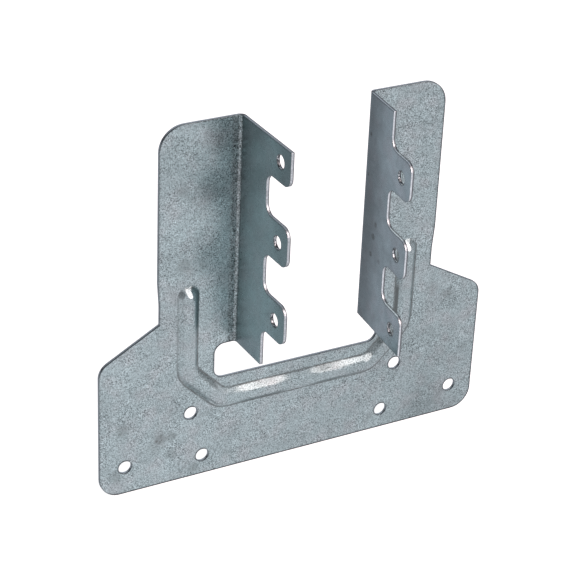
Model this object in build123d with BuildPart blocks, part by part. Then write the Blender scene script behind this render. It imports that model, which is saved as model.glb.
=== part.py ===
from build123d import *
import os
from math import cos, radians, sin, tan

# Truss clip, folded from one galvanised sheet. It ties the foot of a roof truss to a timber wall plate.
# Sizes are in millimetres and angles in degrees. +Z is up, +X runs to the right along the plate, and
# the flanges point forward, to -Y. The origin is the middle of the plate's bottom edge, on its back face.

# The sheet and its two folds
sheet = 0.9
fold_inner_radius = 0.9
truss_gap = 38.0
left_fold_angle = 89.0
right_fold_angle = 85.3

# Outline of the plate
height = 110.0
base_width = 122.0
base_corner_radius = 6.2
shoulder_height = 51.8
shoulder_slope = 29.2
shoulder_corner_radius = 5.0
upright_width = 87.2
upright_corner_radius = 7.2

# The uprights' outer edges are drawn in slightly where the bead is pressed
edge_draw = 0.5
edge_draw_bottom = 57.5
edge_draw_top = 64.5

# Relief slot across the bottom of the opening, reaching past the two folds
relief_bottom = 30.7
relief_reach = 5.4
relief_radius = 3.0

# Toothed free edges of the two flanges, cut from the opening by one square wave
flange_bottom = 41.6
wave_steps = 6
top_step = 10.5
tooth_reach = 27.5
neck_reach = 15.3
wave_radius = 3.0

# Nail holes
nail_hole = 4.0
flange_nail_reach = 22.1
outer_nail_inset = 7.7
outer_nail_height = 8.6
low_nail_spacing = 58.8
low_nail_height = 6.2
high_nail_spacing = 66.4
high_nail_height = 21.2

# Stiffening bead, pressed forward in a U that keeps clear of the relief slot beside and below it
bead_width = 6.0
bead_height = 1.7
bead_flank_angle = 45.0
bead_clearance = 5.4
bead_drop = 3.9
bead_top = 62.0
bead_corner = 10.6
bead_inner_bend = 2.5
bead_inside_radius = 0.6
bead_foot_radius = 0.9

# Sizes that follow from those above
fold_outer_radius = fold_inner_radius + sheet
fold_line = truss_gap / 2 + fold_outer_radius
upright_edge = upright_width / 2
drawn_edge = upright_edge - edge_draw
shoulder_drop = (base_width / 2 - drawn_edge) * tan(radians(shoulder_slope))
flange_height = height - flange_bottom
wave_step = (flange_height - top_step) / (wave_steps - 1)
outer_nail_spacing = base_width - 2 * outer_nail_inset
relief_side = fold_line + relief_reach
bead_side = relief_side + bead_clearance + bead_width / 2
bead_line_height = relief_bottom - bead_drop - bead_width / 2
bead_end = bead_top - bead_width / 2
groove_width = bead_width - 2 * sheet * tan(radians(bead_flank_angle / 2))

front_face = Plane.XZ.offset(sheet)
back_face = Plane.XZ


def mirrored_pair(spacing, level):
    """Two places at one height, either side of the middle."""
    return (-spacing / 2, level), (spacing / 2, level)


def corner_at(across, level):
    """The corner nearest one place in the sketch being drawn."""
    return vertices().sort_by_distance((across, level))[0]


def step_bottom(step):
    """Lower edge of one step of the wave, where step 0 is the topmost."""
    return height - top_step - step * wave_step


def flange_plane(side, fold_angle):
    """The middle of a flange's sheet, with X running forward from the end of the fold and Y up."""
    lean = radians(90 - fold_angle)
    to_gap = Vector(-side * cos(lean), sin(lean), 0)
    forward = Vector(-side * sin(lean), -cos(lean), 0)
    fold_centre = Vector(side * fold_line, -fold_outer_radius, 0)
    start = fold_centre + to_gap * (fold_inner_radius + sheet / 2)
    return Plane(origin=start, x_dir=forward, z_dir=to_gap * side)


with BuildPart() as truss_clip:
    # The plate and its two uprights, drawn as a right half and mirrored
    with BuildSketch(back_face):
        with BuildLine():
            Polyline(
                (0, 0),
                (base_width / 2, 0),
                (base_width / 2, shoulder_height - shoulder_drop),
                (drawn_edge, shoulder_height),
                (drawn_edge, edge_draw_bottom),
                (upright_edge, edge_draw_top),
                (upright_edge, height),
                (fold_line, height),
                (fold_line, flange_bottom),
                (relief_side, flange_bottom),
                (relief_side, relief_bottom),
                (0, relief_bottom),
                close=True,
            )
        make_face()
        fillet(corner_at(base_width / 2, 0), base_corner_radius)
        fillet(corner_at(base_width / 2, shoulder_height - shoulder_drop), shoulder_corner_radius)
        fillet(corner_at(upright_edge, height), upright_corner_radius)
        fillet(corner_at(relief_side, flange_bottom), relief_radius)
        fillet(corner_at(relief_side, relief_bottom), relief_radius)
        mirror(about=Plane.YZ)
        for spacing, level in (
            (outer_nail_spacing, outer_nail_height),
            (low_nail_spacing, low_nail_height),
            (high_nail_spacing, high_nail_height),
        ):
            with Locations(*mirrored_pair(spacing, level)):
                Circle(nail_hole / 2, mode=Mode.SUBTRACT)
    extrude(amount=sheet)

    # The bead stands up on the front, with its groove behind it one sheet lower
    for face, width, mode, foot_radius, crown_radius in (
        (front_face, bead_width, Mode.ADD, bead_foot_radius, bead_inside_radius + sheet),
        (back_face, groove_width, Mode.SUBTRACT, bead_foot_radius + sheet, bead_inside_radius),
    ):
        with BuildSketch(face):
            with BuildLine() as bead_line:
                FilletPolyline(
                    (-bead_side, bead_end),
                    (-bead_side, bead_line_height + bead_corner),
                    (bead_corner - bead_side, bead_line_height),
                    (bead_side - bead_corner, bead_line_height),
                    (bead_side, bead_line_height + bead_corner),
                    (bead_side, bead_end),
                    radius=bead_width / 2 + bead_inner_bend,
                )
            trace(line_width=width)
            with Locations(bead_line.line @ 0, bead_line.line @ 1):
                Circle(width / 2)
        extrude(amount=bead_height, taper=90 - bead_flank_angle, mode=mode)
        bead_edges = edges(Select.LAST)
        crown_edges = bead_edges.group_by(Axis.Y)[0]
        foot_edges = bead_edges.group_by(Axis.Y)[-1]
        fillet(crown_edges, crown_radius)
        fillet(foot_edges, foot_radius)

    # Each upright's inner edge turns through its fold into a flange, with teeth on alternate steps
    for side, fold_angle, first_tooth in ((-1, left_fold_angle, 0), (1, right_fold_angle, 1)):
        with BuildSketch(Plane.YZ.offset(side * fold_line)):
            with Locations((-sheet / 2, flange_bottom + flange_height / 2)):
                Rectangle(sheet, flange_height)
        fold_axis = Axis((side * fold_line, -fold_outer_radius, 0), (0, 0, side))
        revolve(axis=fold_axis, revolution_arc=fold_angle)

        teeth = range(first_tooth, wave_steps, 2)
        with BuildSketch(flange_plane(side, fold_angle)):
            with Locations((0, flange_bottom)):
                Rectangle(neck_reach - fold_outer_radius, flange_height, align=(Align.MIN, Align.MIN))
            for tooth in teeth:
                tooth_height = wave_step if tooth else top_step
                with Locations((0, step_bottom(tooth))):
                    Rectangle(tooth_reach - fold_outer_radius, tooth_height, align=(Align.MIN, Align.MIN))
            ends = wave_radius / 2
            wave_corners = vertices().filter_by_position(Axis.Y, flange_bottom + ends, height - ends)
            fillet(wave_corners, wave_radius)
            nail_line = flange_nail_reach - fold_outer_radius
            with Locations(*[(nail_line, step_bottom(tooth) + wave_step / 2) for tooth in teeth]):
                Circle(nail_hole / 2, mode=Mode.SUBTRACT)
        extrude(amount=sheet / 2, both=True)

truss_clip.part.label = "truss_clip"
os.makedirs("parts", exist_ok=True)
export_step(truss_clip.part, "parts/truss_clip.step")
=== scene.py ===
import math

import bpy
from mathutils import Matrix, Vector

# Looks for a galvanised truss clip, stood upright on its bottom edge as it is held on a wall plate.
# Blender works in metres. Sizes on the clip are given in millimetres, in the frame of the CAD model:
# +Z is up, +X is right along the plate, and the flanges point forward, to -Y.

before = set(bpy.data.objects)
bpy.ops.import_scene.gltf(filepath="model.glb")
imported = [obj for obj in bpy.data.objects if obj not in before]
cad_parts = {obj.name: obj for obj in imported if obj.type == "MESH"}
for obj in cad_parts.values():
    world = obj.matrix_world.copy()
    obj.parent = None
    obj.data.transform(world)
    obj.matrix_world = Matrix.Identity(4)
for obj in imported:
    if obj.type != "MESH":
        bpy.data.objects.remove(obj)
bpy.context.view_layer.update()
MM = 0.001
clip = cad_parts["truss_clip"]

# The sheet and its places, and how far each flange leans from square
SHEET = 0.9
PLATE_FRONT = -SHEET
FOLD_LINE = 20.8
FLANGE_BOTTOM = 41.6
GAP_SIDE = 19.0
NAIL_RADIUS = 2.0
NAIL_REACH = 22.1
NAIL_STEP = 11.58
LOW_NAIL = 47.39
LEFT_LEAN = math.radians(1.0)
RIGHT_LEAN = math.radians(4.7)

# The bead: its centre line from the upper end to the middle of the clip, mirrored on the other side
BEAD_FOOT = 3.0
BEAD_BEND = 5.5
BEAD_CORNERS = ((34.6, 59.0), (34.6, 34.4), (24.0, 23.8), (0.0, 23.8))


def linear(red, green, blue):
    """A colour in linear light, ready for a socket."""
    return (red, green, blue, 1.0)


# Zinc and bare steel, and the colours of painted shade and painted highlight
ZINC = linear(0.305, 0.395, 0.408)
ZINC_WARM = linear(0.322, 0.388, 0.402)
STAIN = linear(0.100, 0.115, 0.110)
# Painted shade in the crease round the bead's foot
CREASE_SHADE_COLOUR = linear(0.095, 0.112, 0.112)
# Painted shade along the edges, standing for the dark reflection in a rounded arris
EDGE_SHADE_COLOUR = linear(0.05, 0.06, 0.065)
# Darker speckles on the walls of the flanges' nail holes
DARK_WALL = linear(0.025, 0.035, 0.040)
BARE_STEEL = linear(0.54, 0.61, 0.64)
TORN_STEEL = linear(0.14, 0.16, 0.17)
# Painted highlight on the dents that face up
HIGHLIGHT_PAINT_COLOUR = linear(0.56, 0.70, 0.72)
RIGHT_FLANGE_TINT = linear(1.11, 1.04, 1.06)

# Patterns in the finish: how wide their largest patches are, then detail, roughness and distortion
GRAIN = (0.33, 1.0, 0.5)
SPANGLE = (1.2, 2.0, 0.7)
PATCH = (4.5, 2.0, 0.5, 0.5)
CLOUD = (17.0, 2.0)
STREAK = (4.0, 3.0, 0.6, 0.6)
COARSE_PATCH = (7.0, 2.0)
WARM_PATCH = (6.0, 3.0)
HANDLED_PATCH = (8.0, 3.0, 0.6)
RAG = (1.6, 3.0, 0.7)
SPECK = (0.65, 2.0, 0.7)
CRAZING = (0.38, 1.0, 0.8)
SHEARED_GRAIN = (0.5, 2.0, 0.7)
WAVE = (9.0, 1.0)
STREAK_SQUEEZE = (0.5, 1.0, 1.0)

# How much each pattern lightens and darkens the zinc
CLOUD_SHADE = 0.35
STREAK_SHADE = 0.36
PATCH_SHADE = 0.05
RIGHT_FLANGE_PATCH_SHADE = 0.45
GRAIN_SHADE = 2.6
SPANGLE_SHADE = 0.36
CRAZED_TONE = 0.82
CRAZING_SHADE = 3.0
LEAST_COARSE = 0.75
COARSENESS = 0.5
FLANGE_SMOOTHNESS = 0.75
# Painted shade towards the right, and more of it at the bottom
RIGHT_PAINTED_SHADE = 0.12
LOW_RIGHT_PAINTED_SHADE = 0.05

# How much of the zinc the stains cover, and how the grain and the specks break a mark up
HANDLED_COVER = 0.4
MARK_COVER = 0.45
MARK_GRAIN = 2.2
MARK_SPECKS = 0.5
SPECK_COVER = 0.22

# How ragged the rim of a mark is, how much of it is its dark core, and how ragged a soft cloud or patch of
# painted shade is
RAG_DEPTH = 2.0
SPOT_RAG = 0.6
SPOT_CORE = 0.35
CLOUD_AND_SHADE_RAG = 1.2

# The painted shade in the crease round the bead's foot: its half width and place, how it is broken, and
# where it is fainter
CREASE_WIDTH = 0.50
CREASE_OFFSET = 0.05
CREASE_COVER = 0.80
CREASE_SPANGLE = 1.2
CREASE_PATCH = 0.8
LEFT_OUTSIDE_FADE = 0.5
TOP_FADE = 0.75
SHADED_CREASE = 0.9

# Painted light and shade on the flanges, as shares of the zinc's own tone. Below 0 it is darker
LEFT_PAINTED_LIGHT = 0.05
LEFT_FRONT_PAINTED_LIGHT = 0.42
LEFT_TEETH_PAINTED_LIGHT = -0.22
LEFT_TOP_PAINTED_LIGHT = -0.36
RIGHT_PAINTED_LIGHT = -0.25
RIGHT_FRONT_PAINTED_LIGHT = 0.85
RIGHT_MIDDLE_PAINTED_LIGHT = -0.14

# Edges: the radius of an arris, how far from an edge the painted shade reaches, and how dark that painted
# shade is on each kind of edge
ARRIS_RADIUS = 0.30
EDGE_SHADE_RADIUS = 1.10
BEVEL_SAMPLES = 8
EDGE_SHADE = 0.6
TOP_EDGE_SHADE = 0.35
FLANGE_EDGE_SHADE = -0.3
FOLD_EDGE_SHADE = -0.6

# Sheared edges: how deep the tear starts and how ragged it is, how much the steel's tone varies, and how
# much darker it is on the left flange and on the nail holes' walls
TEAR_START = 0.64
TEAR_FULL = 0.74
TEAR_RAG = 0.4
SHEARED_SHADE = 1.3
LEFT_FLANGE_SHADE = -0.25
NAIL_WALL_DARKENING = 0.90

# How far the bead's press left it slack: on its left upright, in its middle, at its bends, on its left dome
UPRIGHT_SLACK = 0.45
MIDDLE_SLACK = 0.75
LEFT_BEND_SLACK = 0.55
RIGHT_BEND_SLACK = 0.34
DOME_SLACK = 0.5

# Roughness of the zinc and what is added to it
ROUGHNESS = 0.30
SPANGLE_ROUGHNESS = 0.14
GRAIN_ROUGHNESS = 0.20
FOLD_ROUGHNESS = 0.20
BEAD_ROUGHNESS = 0.04

# Depth of the waves in the sheet and of the zinc's grain, which a dent irons out, and the share of painted
# highlight on a dent that faces up
WAVE_DEPTH = 0.08
TOOTH_DEPTH = 0.04
TOOTH_SPANGLE = 0.6
PRESSED_TOOTH_LOSS = 0.022
HIGHLIGHT_PAINT_SHARE = 0.8

# Handling marks on the plate: across, up, radius, and how dark
PLATE_MARKS = (
    (-42.6, 14.8, 3.0, 0.80),
    (-38.9, 15.2, 2.2, 0.60),
    (-39.2, 9.2, 2.4, 0.45),
    (-54.2, 21.0, 2.6, 0.50),
    (-56.1, 5.9, 2.6, 0.45),
    (-31.9, 2.4, 2.4, 0.50),
    (-36.7, 90.7, 2.4, 0.45),
    (-34.0, 87.8, 2.2, 0.35),
    (-36.0, 68.5, 2.8, 0.50),
    (50.0, 41.0, 2.6, 0.50),
    (57.0, 21.0, 2.0, 0.40),
    (27.0, 97.0, 2.6, 0.40),
)
# Soft clouds on the plate, and beside the left fold painted shade from the left flange, lighter in the
# upright's middle: across, up, radius, and how much darker or, below 0, lighter
PLATE_CLOUDS_AND_SHADE = (
    (-28.5, 90.0, 7.0, 0.28),
    (-26.0, 104.0, 7.0, 0.34),
    (-29.0, 70.0, 6.5, 0.16),
    (-25.0, 62.0, 6.0, 0.18),
    (-40.0, 103.0, 6.0, 0.04),
    (-38.0, 72.0, 6.0, 0.03),
    (-30.0, 81.0, 4.5, -0.12),
    (-38.0, 80.0, 9.0, -0.12),
    (-32.0, 107.0, 4.0, -0.08),
    (28.0, 95.0, 6.0, 0.07),
    (-47.0, 8.0, 7.0, 0.07),
    (45.0, 5.0, 14.0, 0.16),
)
# Small rubs on the right flange's gap face: forward of the plate's back, up, radius, and how dark
FLANGE_MARKS = (
    (7.9, 69.4, 1.2, 1.60),
    (8.9, 73.5, 1.1, 1.20),
    (7.1, 63.6, 1.1, 1.20),
    (12.2, 63.6, 1.0, 0.80),
    (2.8, 98.3, 0.9, 1.20),
    (2.7, 86.2, 0.8, 1.20),
)
# The way the plate faces, and the ways its dents do
FORWARD = (0.0, -1.0, 0.0)
UP_FACING = (0.04, -0.80, 0.60)
LEFT_FACING = (-0.55, -0.70, 0.45)
RIGHT_FACING = (0.60, -0.80, 0.0)
# Small dents where the bead's press marked the sheet: across, up, half width, half length, how far the dent
# leans clockwise from upright in degrees, the way it faces, and how strongly
DENTS = (
    (-33.4, 59.9, 1.2, 2.0, -10.0, RIGHT_FACING, 0.5),
    (35.6, 60.0, 1.1, 1.9, -10.0, RIGHT_FACING, 0.5),
    (-34.9, 60.3, 0.85, 1.9, -24.0, UP_FACING, 0.97),
    (34.0, 60.2, 0.9, 1.9, -24.0, UP_FACING, 0.95),
    (-36.9, 59.9, 0.9, 1.5, 10.0, LEFT_FACING, 0.6),
    (-26.4, 22.9, 0.25, 2.6, -47.0, UP_FACING, 0.6),
    (23.4, 26.2, 0.9, 1.9, 50.0, UP_FACING, 0.6),
)


class Socket:
    """One output in a shader. Arithmetic on a number adds Math nodes to its tree."""

    def __init__(self, tree, output):
        self.tree = tree
        self.output = output

    def __add__(self, other):
        return self.tree.math("ADD", self, other)

    def __radd__(self, other):
        return self.tree.math("ADD", other, self)

    def __sub__(self, other):
        return self.tree.math("SUBTRACT", self, other)

    def __rsub__(self, other):
        return self.tree.math("SUBTRACT", other, self)

    def __mul__(self, other):
        return self.tree.math("MULTIPLY", self, other)

    def __rmul__(self, other):
        return self.tree.math("MULTIPLY", other, self)

    def __neg__(self):
        return self.tree.math("MULTIPLY", self, -1.0)

    def __abs__(self):
        return self.tree.math("ABSOLUTE", self)

    def rise(self, low, high):
        """0 below low, 1 above high and a smooth step between. With low above high it falls."""
        settings = {"interpolation_type": "SMOOTHSTEP"}
        return self.tree.node("MapRange", settings, {"Value": self, "From Min": low, "From Max": high})


class Tree:
    """The nodes of one material or of the world."""

    def __init__(self, owner):
        owner.use_nodes = True
        self.nodes = owner.node_tree.nodes
        self.links = owner.node_tree.links
        self.nodes.clear()

    def node(self, kind, settings, sockets, output=0):
        """Adds one node, its settings first, then its sockets' values or links, and gives one output."""
        made = self.nodes.new("ShaderNode" + kind)
        for name, setting in settings.items():
            setattr(made, name, setting)
        for name, value in sockets.items():
            if isinstance(value, Socket):
                self.links.new(value.output, made.inputs[name])
            else:
                made.inputs[name].default_value = value
        return Socket(self, made.outputs[output] if made.outputs else None)

    def math(self, operation, *values):
        return self.node("Math", {"operation": operation}, dict(enumerate(values)))

    def larger(self, first, second):
        return self.math("MAXIMUM", first, second)

    def smaller(self, first, second):
        return self.math("MINIMUM", first, second)

    def vector(self, operation, first, second, output=0):
        return self.node("VectorMath", {"operation": operation}, {0: first, 1: second}, output)

    def point(self, x, y, z=0.0):
        return self.node("CombineXYZ", {}, {0: x, 1: y, 2: z})

    def parts(self, vector):
        """The X, Y and Z of a vector."""
        split = self.node("SeparateXYZ", {}, {0: vector})
        return [Socket(self, output) for output in split.output.node.outputs]

    def blend(self, share, low, high, how="MIX"):
        """Goes from the low colour to the high one as the share goes from 0 to 1."""
        settings = {"data_type": "RGBA", "blend_type": how}
        return self.node("Mix", settings, {0: share, 6: low, 7: high}, output=2)

    def shade(self, colour, tone):
        """Makes a colour lighter where the tone is above 1 and darker where it is below."""
        return self.blend(1.0, colour, self.point(tone, tone, tone), "MULTIPLY")

    def turn(self, share, facing, way):
        """Turns a normal part of the way to another direction."""
        return self.node("Mix", {"data_type": "VECTOR"}, {0: share, 4: facing, 5: way}, output=1)

    def rounded(self, radius):
        """The normal that edges rounded to this radius, in mm, would have."""
        return self.node("Bevel", {"samples": BEVEL_SAMPLES}, {"Radius": radius * MM})

    def raised(self, height, facing):
        """A normal tilted by heights in mm."""
        sockets = {"Strength": 1.0, "Distance": MM, "Height": height, "Normal": facing}
        return self.node("Bump", {}, sockets)

    def noise(self, place, size, detail=2.0, roughness=0.5, distortion=0.0):
        """Noise around 0, from about -0.5 to 0.5, whose largest patches are one size across, in mm."""
        sockets = {"Vector": place, "Scale": 1.0 / size, "Detail": detail}
        sockets.update({"Roughness": roughness, "Distortion": distortion})
        return self.node("TexNoise", {}, sockets) - 0.5


def eased(corners, radius):
    """Points of a line whose corners turn through arcs, each given by its ends and its middle."""
    points = [Vector(corners[0])]
    for before, corner, after in zip(corners, corners[1:], corners[2:]):
        corner = Vector(corner)
        back = (Vector(before) - corner).normalized()
        on = (Vector(after) - corner).normalized()
        half_turn = (math.pi - back.angle(on)) / 2
        inward = (back + on).normalized()
        arc_middle = corner + inward * radius * (1 / math.cos(half_turn) - 1)
        tangent = radius * math.tan(half_turn)
        points += [corner + back * tangent, arc_middle, corner + on * tangent]
    return points + [Vector(corners[-1])]


class Clip:
    """Where a point of the clip lies, as masks from 0 to 1, and the fine patterns that its finish shares."""

    def __init__(self, tree):
        position = tree.node("TexCoord", {}, {}, output=3)
        self.tree = tree
        self.place = tree.node("VectorMath", {"operation": "SCALE"}, {0: position, "Scale": 1.0 / MM})
        self.across, self.depth, self.up = tree.parts(self.place)
        self.normal = tree.node("NewGeometry", {}, {}, output=1)
        self.facing = tree.parts(tree.node("NewGeometry", {}, {}, output=3))
        turn_x, turn_y, turn_z = [abs(part) for part in self.facing]

        # The flanges are all that stands forward of the plate between the folds
        above_relief = self.up.rise(FLANGE_BOTTOM - 0.7, FLANGE_BOTTOM - 0.4)
        inside = abs(self.across).rise(FOLD_LINE + 1.4, FOLD_LINE + 0.9) * above_relief
        self.flange = inside * self.depth.rise(-1.0, -2.0)
        self.right = self.across.rise(-1.0, 1.0)
        self.right_flange = self.flange * self.right
        self.front = self.facing[1].rise(0.1, -0.3) * (1.0 - self.flange)

        # Sheared edges: outline and holes of the plate, free edges and holes of the flanges, fold ends
        plate_edge = self.depth.rise(-1.0, -0.92) * turn_y.rise(0.35, 0.2)
        flange_edge = inside * self.depth.rise(-1.0, -1.3) * turn_x.rise(0.35, 0.2)
        self.sheared = tree.larger(tree.larger(plate_edge, flange_edge), turn_z.rise(0.8, 0.9))

        # How deep a point of a sheared edge lies in the sheet, from 0 on the side the punch entered
        left_face = self.across + GAP_SIDE + SHEET + self.depth * math.tan(LEFT_LEAN)
        right_face = self.across - (GAP_SIDE + self.depth * math.tan(RIGHT_LEAN))
        in_flange = left_face + (right_face - left_face) * self.right
        in_plate = -self.depth
        self.cut_depth = (in_plate + (in_flange - in_plate) * self.flange) * (1.0 / SHEET)

        # The walls of the flanges' nail holes, and the left fold's inside, where the zinc is crazed
        nearest_nail = tree.math("PINGPONG", self.up - LOW_NAIL + (1.0 - self.right) * NAIL_STEP, NAIL_STEP)
        from_nail = tree.point(self.depth + NAIL_REACH, nearest_nail)
        from_nail = tree.node("VectorMath", {"operation": "LENGTH"}, {0: from_nail}, output=1)
        self.nail_wall = self.sheared * self.flange * from_nail.rise(NAIL_RADIUS + 0.5, NAIL_RADIUS + 0.3)
        fold_side = self.across.rise(-FOLD_LINE - 2.1, -FOLD_LINE - 1.1) * self.across.rise(0.0, -1.0)
        fold_depth = self.depth.rise(-2.0, -1.75) * self.depth.rise(-0.3, -0.8)
        self.left_fold = fold_side * fold_depth * above_relief

        # How far a point lies from the bead's centre line, and far away on the flanges
        level = tree.point(abs(self.across), self.up)
        route = eased(BEAD_CORNERS, BEAD_BEND)
        nearest = self.from_line(level, route[0], route[1])
        for start, end in zip(route[1:], route[2:]):
            nearest = tree.smaller(nearest, self.from_line(level, start, end))
        far_away = 50.0
        self.bead_away = nearest + self.flange * far_away

        # Patterns that several parts of the finish share. The grain is faint on the smooth flanges
        self.grain = tree.noise(self.place, *GRAIN)
        self.spangle = tree.noise(self.place, *SPANGLE)
        self.patch = tree.noise(self.place, *PATCH)
        self.rag = tree.noise(self.place, *RAG) * RAG_DEPTH
        self.grainy = 1.0 - self.flange * FLANGE_SMOOTHNESS

    def from_line(self, level, start, end):
        """Distance from one straight run of the bead, in the plane of the plate."""
        run = end - start
        rest = self.tree.vector("SUBTRACT", level, (start[0], start[1], 0.0))
        along = self.tree.vector("DOT_PRODUCT", rest, (run.x, run.y, 0.0), output=1)
        share = self.tree.node("Clamp", {}, {0: along * (1.0 / run.length_squared)})
        sockets = {0: (run.x, run.y, 0.0), "Scale": share}
        nearest = self.tree.node("VectorMath", {"operation": "SCALE"}, sockets)
        return self.tree.vector("DISTANCE", rest, nearest, output=1)

    def away(self, centre):
        """Distance from a point."""
        return self.tree.vector("DISTANCE", self.place, centre, output=1)

    def spot(self, centre, radius):
        """A soft round mark with a ragged rim."""
        return (self.away(centre) + self.rag * radius * SPOT_RAG).rise(radius, radius * SPOT_CORE)

    def dent(self, across, up, half_width, half_length, lean):
        """A soft leaning oval on the front of the plate."""
        to_right = self.across - across
        to_top = self.up - up
        width_share = (to_right * math.cos(lean) - to_top * math.sin(lean)) * (1.0 / half_width)
        length_share = (to_right * math.sin(lean) + to_top * math.cos(lean)) * (1.0 / half_length)
        return (width_share * width_share + length_share * length_share).rise(1.1, 0.3) * self.front


def zinc_tone(tree, clip_at):
    """How light the zinc is beside its plain colour. Painted shade darkens it towards the right, most at the
    bottom.
    """
    cloud = tree.noise(clip_at.place, *CLOUD) * CLOUD_SHADE
    along_plate = tree.vector("MULTIPLY", clip_at.place, STREAK_SQUEEZE)
    streak = tree.noise(along_plate, *STREAK) * STREAK_SHADE
    patch = clip_at.patch * (PATCH_SHADE + clip_at.right_flange * RIGHT_FLANGE_PATCH_SHADE)
    coarse = LEAST_COARSE + tree.noise(clip_at.place, *COARSE_PATCH).rise(-0.15, 0.2) * COARSENESS
    fine = (clip_at.grain * GRAIN_SHADE + clip_at.spangle * SPANGLE_SHADE) * clip_at.grainy * coarse
    # Painted shade, darker towards the right and most at the bottom
    towards_right = clip_at.across.rise(-45.0, 60.0)
    towards_bottom = clip_at.up.rise(40.0, 0.0)
    darker = towards_right * (RIGHT_PAINTED_SHADE + towards_bottom * LOW_RIGHT_PAINTED_SHADE)
    return (1.0 + cloud + streak + patch + fine) * (1.0 - darker)


def stained(tree, clip_at):
    """How much of the zinc is covered by handling marks, rubs and dark specks."""
    marks = tree.noise(clip_at.place, *HANDLED_PATCH).rise(0.08, 0.26) * HANDLED_COVER
    for across, up, radius, dark in PLATE_MARKS:
        marks = tree.larger(marks, clip_at.spot((across, PLATE_FRONT, up), radius) * dark)
    for forward, up, radius, dark in FLANGE_MARKS:
        gap_face = GAP_SIDE - forward * math.tan(RIGHT_LEAN)
        marks = tree.larger(marks, clip_at.spot((gap_face, -forward, up), radius) * dark)
    specks = tree.noise(clip_at.place, *SPECK).rise(0.04, 0.20)
    broken = MARK_COVER + clip_at.grain * MARK_GRAIN + specks * MARK_SPECKS
    return marks * broken + specks * SPECK_COVER * clip_at.grainy


def painted_crease_shade(tree, clip_at):
    """How dark the painted shade in the crease round the bead's foot is. It is broken, and faint outside on
    the left and on top.
    """
    foot = abs(clip_at.bead_away - (BEAD_FOOT + CREASE_OFFSET)).rise(CREASE_WIDTH, 0.0)
    broken = CREASE_COVER + clip_at.spangle * CREASE_SPANGLE + clip_at.patch * CREASE_PATCH
    left_outside = clip_at.across.rise(-36.0, -36.8) * clip_at.up.rise(33.0, 38.0) * LEFT_OUTSIDE_FADE
    top = clip_at.up.rise(59.5, 61.0) * TOP_FADE
    crease_shade = foot * broken * (1.0 - tree.larger(left_outside, top))

    # The inner foot on the right lies in the flange's shade
    right_inside = abs(clip_at.across - 32.0).rise(0.55, 0.25)
    upright = clip_at.up.rise(50.0, 46.0) * clip_at.up.rise(32.0, 35.0)
    return tree.larger(crease_shade, right_inside * upright * clip_at.front * SHADED_CREASE)


def flange_painted_light(clip_at):
    """How much the flanges are painted lighter than the plate, as a share. The painted light grows to the
    front; nearer the plate it is painted shade.
    """
    to_front = clip_at.depth.rise(-1.5, -18.0)
    at_teeth = clip_at.depth.rise(-18.0, -25.0)
    to_top = clip_at.up.rise(66.0, 108.0)
    right_middle = abs(clip_at.up - 76.0).rise(30.0, 5.0)
    left = LEFT_PAINTED_LIGHT + to_front * LEFT_FRONT_PAINTED_LIGHT + at_teeth * LEFT_TEETH_PAINTED_LIGHT + to_top * LEFT_TOP_PAINTED_LIGHT
    right = RIGHT_PAINTED_LIGHT + to_front * RIGHT_FRONT_PAINTED_LIGHT + right_middle * RIGHT_MIDDLE_PAINTED_LIGHT
    return clip_at.flange * (left + (right - left) * clip_at.right)


def painted_edge_shade(tree, clip_at):
    """Where painted shade lies beside a sheared edge, standing for the dark reflection in its rounded arris:
    a narrow line, wider on the plate's right and bottom.
    """
    beside_edge = tree.rounded(EDGE_SHADE_RADIUS)
    arris = 1.0 - tree.vector("DOT_PRODUCT", beside_edge, clip_at.normal, output=1)
    towards = tree.parts(beside_edge)
    edge_shade = EDGE_SHADE + towards[2].rise(0.0, 0.2) * TOP_EDGE_SHADE
    edge_shade = edge_shade + clip_at.flange * FLANGE_EDGE_SHADE + clip_at.left_fold * FOLD_EDGE_SHADE
    narrow = edge_shade * arris.rise(0.08, 0.18)
    wide = arris.rise(0.012, 0.05)
    facing_right_or_down = (towards[0] - towards[2]).rise(0.0, 0.25) * (1.0 - clip_at.flange)
    clear_of_bead = clip_at.bead_away.rise(BEAD_FOOT + 0.9, BEAD_FOOT + 1.6)
    return (narrow + (wide - narrow) * facing_right_or_down) * clear_of_bead


def zinc_colour(tree, clip_at):
    """Blue-grey zinc, clouded, spangled and specked, with its marks, and painted light and shade: in the
    bead's crease, beside the left fold, on the flanges and along the edges.
    """
    warmth = tree.noise(clip_at.place, *WARM_PATCH).rise(-0.1, 0.25)
    zinc = tree.shade(tree.blend(warmth, ZINC, ZINC_WARM), zinc_tone(tree, clip_at))
    zinc = tree.blend(stained(tree, clip_at), zinc, STAIN)
    # Soft clouds, and painted shade from the left flange beside the left fold
    for across, up, radius, darker in PLATE_CLOUDS_AND_SHADE:
        away = clip_at.away((across, PLATE_FRONT, up)) + clip_at.rag * CLOUD_AND_SHADE_RAG
        zinc = tree.shade(zinc, 1.0 - away.rise(radius, 0.0) * darker)
    crazed = CRAZED_TONE + tree.noise(clip_at.place, *CRAZING) * CRAZING_SHADE
    zinc = tree.blend(clip_at.left_fold, zinc, tree.shade(zinc, crazed))
    # Painted shade in the crease round the bead's foot
    zinc = tree.blend(painted_crease_shade(tree, clip_at), zinc, CREASE_SHADE_COLOUR)
    # Painted light and shade on the flanges
    zinc = tree.shade(zinc, 1.0 + flange_painted_light(clip_at))
    zinc = tree.blend(clip_at.right_flange, zinc, tree.blend(1.0, zinc, RIGHT_FLANGE_TINT, "MULTIPLY"))
    # Painted shade along the sheared edges
    return tree.blend(painted_edge_shade(tree, clip_at), zinc, EDGE_SHADE_COLOUR)


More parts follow.
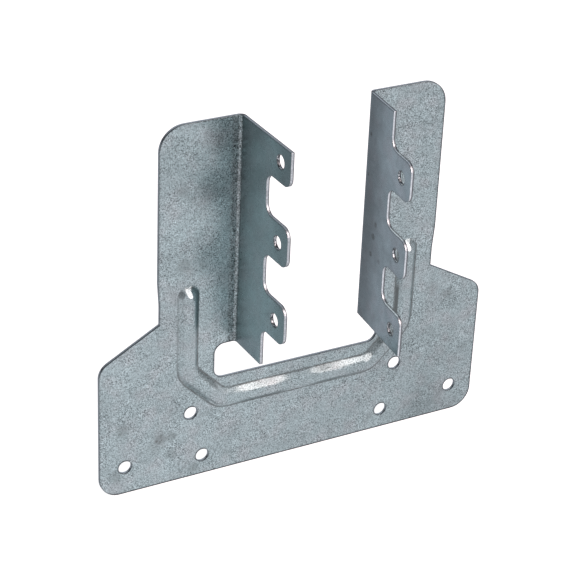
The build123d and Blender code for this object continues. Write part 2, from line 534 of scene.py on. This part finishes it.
def sheared_colour(tree, clip_at):
    """Bare steel: bright where the punch slid, dark where the sheet tore, darker in speckles on the nail
    holes' walls.
    """
    grain = tree.noise(clip_at.place, *SHEARED_GRAIN)
    torn = (clip_at.cut_depth + grain * TEAR_RAG).rise(TEAR_START, TEAR_FULL)
    steel = tree.blend(torn, BARE_STEEL, TORN_STEEL)
    # Darker speckles on the walls of the flanges' nail holes
    wall_darkening = clip_at.nail_wall * (1.0 - grain.rise(-0.02, 0.06)) * NAIL_WALL_DARKENING
    steel = tree.blend(wall_darkening, steel, DARK_WALL)
    left_flange = clip_at.flange * (1.0 - clip_at.right)
    return tree.shade(steel, 1.0 + grain * SHEARED_SHADE + left_flange * LEFT_FLANGE_SHADE)


def slackened(tree, clip_at, facing):
    """The normal, eased towards the plate's own where the press left the bead slack."""
    inner_flank = clip_at.facing[0].rise(0.05, 0.3) * clip_at.bead_away.rise(BEAD_FOOT + 0.1, 1.3)
    left_upright = clip_at.up.rise(25.0, 37.0) * clip_at.across.rise(-20.0, -23.0)
    turned = tree.turn(inner_flank * left_upright * clip_at.front * UPRIGHT_SLACK, facing, FORWARD)

    middle = abs(clip_at.across - 0.5).rise(9.0, 0.5)
    left_bend = clip_at.across.rise(-15.0, -21.5) * clip_at.across.rise(-26.5, -24.5)
    right_bend = clip_at.across.rise(12.0, 21.0)
    lower_run = clip_at.bead_away.rise(BEAD_FOOT + 0.6, BEAD_FOOT) * clip_at.up.rise(32.0, 29.0)
    slack = middle * MIDDLE_SLACK + left_bend * LEFT_BEND_SLACK + right_bend * RIGHT_BEND_SLACK
    turned = tree.turn(slack * lower_run * clip_at.front, turned, FORWARD)

    left_dome = clip_at.up.rise(58.5, 59.5) * clip_at.across.rise(-33.6, -34.8)
    left_dome = left_dome * clip_at.bead_away.rise(BEAD_FOOT + 0.6, BEAD_FOOT + 0.2)
    return tree.turn(left_dome * clip_at.front * DOME_SLACK, turned, FORWARD)


def dented(tree, clip_at, facing):
    """The normal with the press's dents, how far a point lies in one, and how far in one that faces up."""
    pressed = 0.0
    pressed_up = 0.0
    for across, up, half_width, half_length, lean, way, strength in DENTS:
        share = clip_at.dent(across, up, half_width, half_length, math.radians(lean)) * strength
        facing = tree.turn(share, facing, way)
        pressed = tree.larger(pressed, share)
        if way is UP_FACING:
            pressed_up = tree.larger(pressed_up, share)
    return facing, pressed, pressed_up


def galvanised_sheet(material):
    """Dull hot-dipped zinc on folded sheet, with bare sheared edges and a painted highlight on the dents
    that face up.
    """
    tree = Tree(material)
    clip_at = Clip(tree)
    pressed_sheet = slackened(tree, clip_at, tree.rounded(ARRIS_RADIUS))
    pressed_sheet, pressed, pressed_up = dented(tree, clip_at, pressed_sheet)
    waves = tree.noise(clip_at.place, *WAVE) * WAVE_DEPTH
    tooth = clip_at.grain + clip_at.spangle * TOOTH_SPANGLE
    tooth = tooth * (TOOTH_DEPTH - pressed * PRESSED_TOOTH_LOSS)
    surface = tree.raised(tooth, tree.raised(waves, pressed_sheet))

    colour = tree.blend(clip_at.sheared, zinc_colour(tree, clip_at), sheared_colour(tree, clip_at))
    # Painted highlight on the dents that face up, where they catch the key light
    colour = tree.blend(pressed_up.rise(0.65, 0.95) * HIGHLIGHT_PAINT_SHARE, colour, HIGHLIGHT_PAINT_COLOUR)
    on_bead = clip_at.bead_away.rise(BEAD_FOOT + 0.4, BEAD_FOOT - 0.4)
    rough = ROUGHNESS + clip_at.spangle * SPANGLE_ROUGHNESS + clip_at.grain * GRAIN_ROUGHNESS
    rough = rough + clip_at.left_fold * FOLD_ROUGHNESS + on_bead * BEAD_ROUGHNESS
    sockets = {"Base Color": colour, "Metallic": 1.0, "Roughness": rough, "Normal": surface}
    tree.node("OutputMaterial", {}, {"Surface": tree.node("BsdfPrincipled", {}, sockets)})


def dress_clip():
    material = bpy.data.materials.new("galvanised_steel_sheet")
    galvanised_sheet(material)
    for slot in clip.material_slots:
        slot.material = material


# Studio
FLOOR_SIZE = 8.0
FLOOR_WHITE = linear(0.9, 0.9, 0.9)
WHITE = linear(1.0, 1.0, 1.0)
COOL_BACK = linear(0.99, 1.02, 1.12)
WARM_FRONT = linear(1.10, 1.0, 1.04)
KEY_PLACE = (0.50, -0.66, 0.62)
KEY_AIM = (0, 0, 0.05)
KEY_WIDTH = 0.55
KEY_HEIGHT = 0.85
KEY_POWER = 6.0
KEY_COLOUR = (1.0, 0.79, 0.77)

# Strength of the room's light, and of what is added to it or, below 0, taken from it
ROOM = 0.50
FLOOR_ALL_ROUND = -0.08
FLOOR_BENEATH = -0.15
FLOOR_LEFT = -0.05
FLOOR_BACK_RIGHT = 0.26
FRONT_SWEEP = 0.68
FRONT_GLOW = 0.50
FRONT_ABOVE = -0.25
FAR_RIGHT = -0.20
LEFT_WALL = -0.18
LEFT_WALL_MIDDLE = -0.36


def studio_floor():
    mesh = bpy.data.meshes.new("floor")
    half = FLOOR_SIZE / 2
    corners = ((-half, -half, 0), (half, -half, 0), (half, half, 0), (-half, half, 0))
    mesh.from_pydata(corners, (), ((0, 1, 2, 3),))
    floor = bpy.data.objects.new("floor", mesh)
    bpy.context.scene.collection.objects.link(floor)
    floor.visible_glossy = False
    floor.visible_diffuse = False
    material = bpy.data.materials.new("floor_white")
    tree = Tree(material)
    sockets = {"Base Color": FLOOR_WHITE, "Roughness": 0.9, "Specular IOR Level": 0.1}
    sockets.update({"Emission Color": WHITE, "Emission Strength": 0.8})
    tree.node("OutputMaterial", {}, {"Surface": tree.node("BsdfPrincipled", {}, sockets)})
    mesh.materials.append(material)


def studio_surround():
    """Soft light: a white sweep low in front of the clip, and a dimmer room above and behind it."""
    world = bpy.data.worlds.new("studio")
    bpy.context.scene.world = world
    tree = Tree(world)
    towards = tree.node("TexCoord", {}, {}, output=0)
    rightwards, backwards, upwards = tree.parts(towards)
    front = -backwards
    low = upwards.rise(0.25, -0.25)
    light = ROOM + low * FLOOR_ALL_ROUND + low * front.rise(-0.4, 0.3) * FRONT_SWEEP
    light = light + upwards.rise(-0.78, -0.92) * FLOOR_BENEATH
    light = light + front.rise(-0.2, 0.5) * upwards.rise(0.15, 0.5) * FRONT_ABOVE
    light = light + front.rise(0.4, 0.8) * upwards.rise(0.5, 0.1) * (1.0 - low) * FRONT_GLOW
    light = light + rightwards.rise(-0.3, -0.8) * low * FLOOR_LEFT
    light = light + rightwards.rise(0.75, 0.95) * upwards.rise(-0.35, 0.0) * FAR_RIGHT
    light = light + rightwards.rise(0.3, 0.7) * low * front.rise(0.3, -0.2) * FLOOR_BACK_RIGHT
    left_wall = LEFT_WALL + upwards.rise(0.5, 0.2) * LEFT_WALL_MIDDLE
    light = light + rightwards.rise(0.1, -0.3) * upwards.rise(-0.1, 0.2) * left_wall

    # The camera itself sees plain white
    seen = tree.node("LightPath", {}, {}, output=0)
    strength = tree.larger(light, seen)
    tint = tree.blend(front.rise(-0.5, 0.1), COOL_BACK, WARM_FRONT)
    tint = tree.blend(seen, tint, WHITE)
    sky = tree.node("Background", {}, {"Color": tint, "Strength": strength})
    tree.node("OutputWorld", {}, {"Surface": sky})


def key_light():
    light = bpy.data.lights.new("key", "AREA")
    light.color = KEY_COLOUR
    light.shape = "RECTANGLE"
    light.size = KEY_WIDTH
    light.size_y = KEY_HEIGHT
    light.energy = KEY_POWER
    lamp = bpy.data.objects.new("key", light)
    lamp.location = KEY_PLACE
    lamp.rotation_euler = (Vector(KEY_AIM) - Vector(KEY_PLACE)).to_track_quat("-Z", "Y").to_euler()
    bpy.context.scene.collection.objects.link(lamp)


# Camera, as the photograph was taken
CAMERA_AZIMUTH = math.radians(29.39)
CAMERA_ELEVATION = math.radians(28.63)
CAMERA_ROLL = math.radians(2.56)
CAMERA_DISTANCE = 546.1 * MM
CAMERA_AIM = Vector((-3.81, -0.90, 54.78)) * MM
CAMERA_LENS = 122.64


def photo_camera():
    level = math.cos(CAMERA_ELEVATION)
    forward = Vector(
        (math.sin(CAMERA_AZIMUTH) * level, math.cos(CAMERA_AZIMUTH) * level, -math.sin(CAMERA_ELEVATION))
    )
    right = forward.cross(Vector((0, 0, 1))).normalized()
    right = Matrix.Rotation(-CAMERA_ROLL, 3, forward) @ right
    up = right.cross(forward)
    camera = bpy.data.objects.new("camera", bpy.data.cameras.new("camera"))
    turn = Matrix((right, up, -forward)).transposed().to_4x4()
    camera.matrix_world = Matrix.Translation(CAMERA_AIM - forward * CAMERA_DISTANCE) @ turn
    camera.data.lens = CAMERA_LENS
    camera.data.clip_start = 0.01
    bpy.context.scene.collection.objects.link(camera)
    bpy.context.scene.camera = camera


photo_camera()
dress_clip()
studio_floor()
studio_surround()
key_light()
bpy.context.scene.view_settings.view_transform = "Standard"
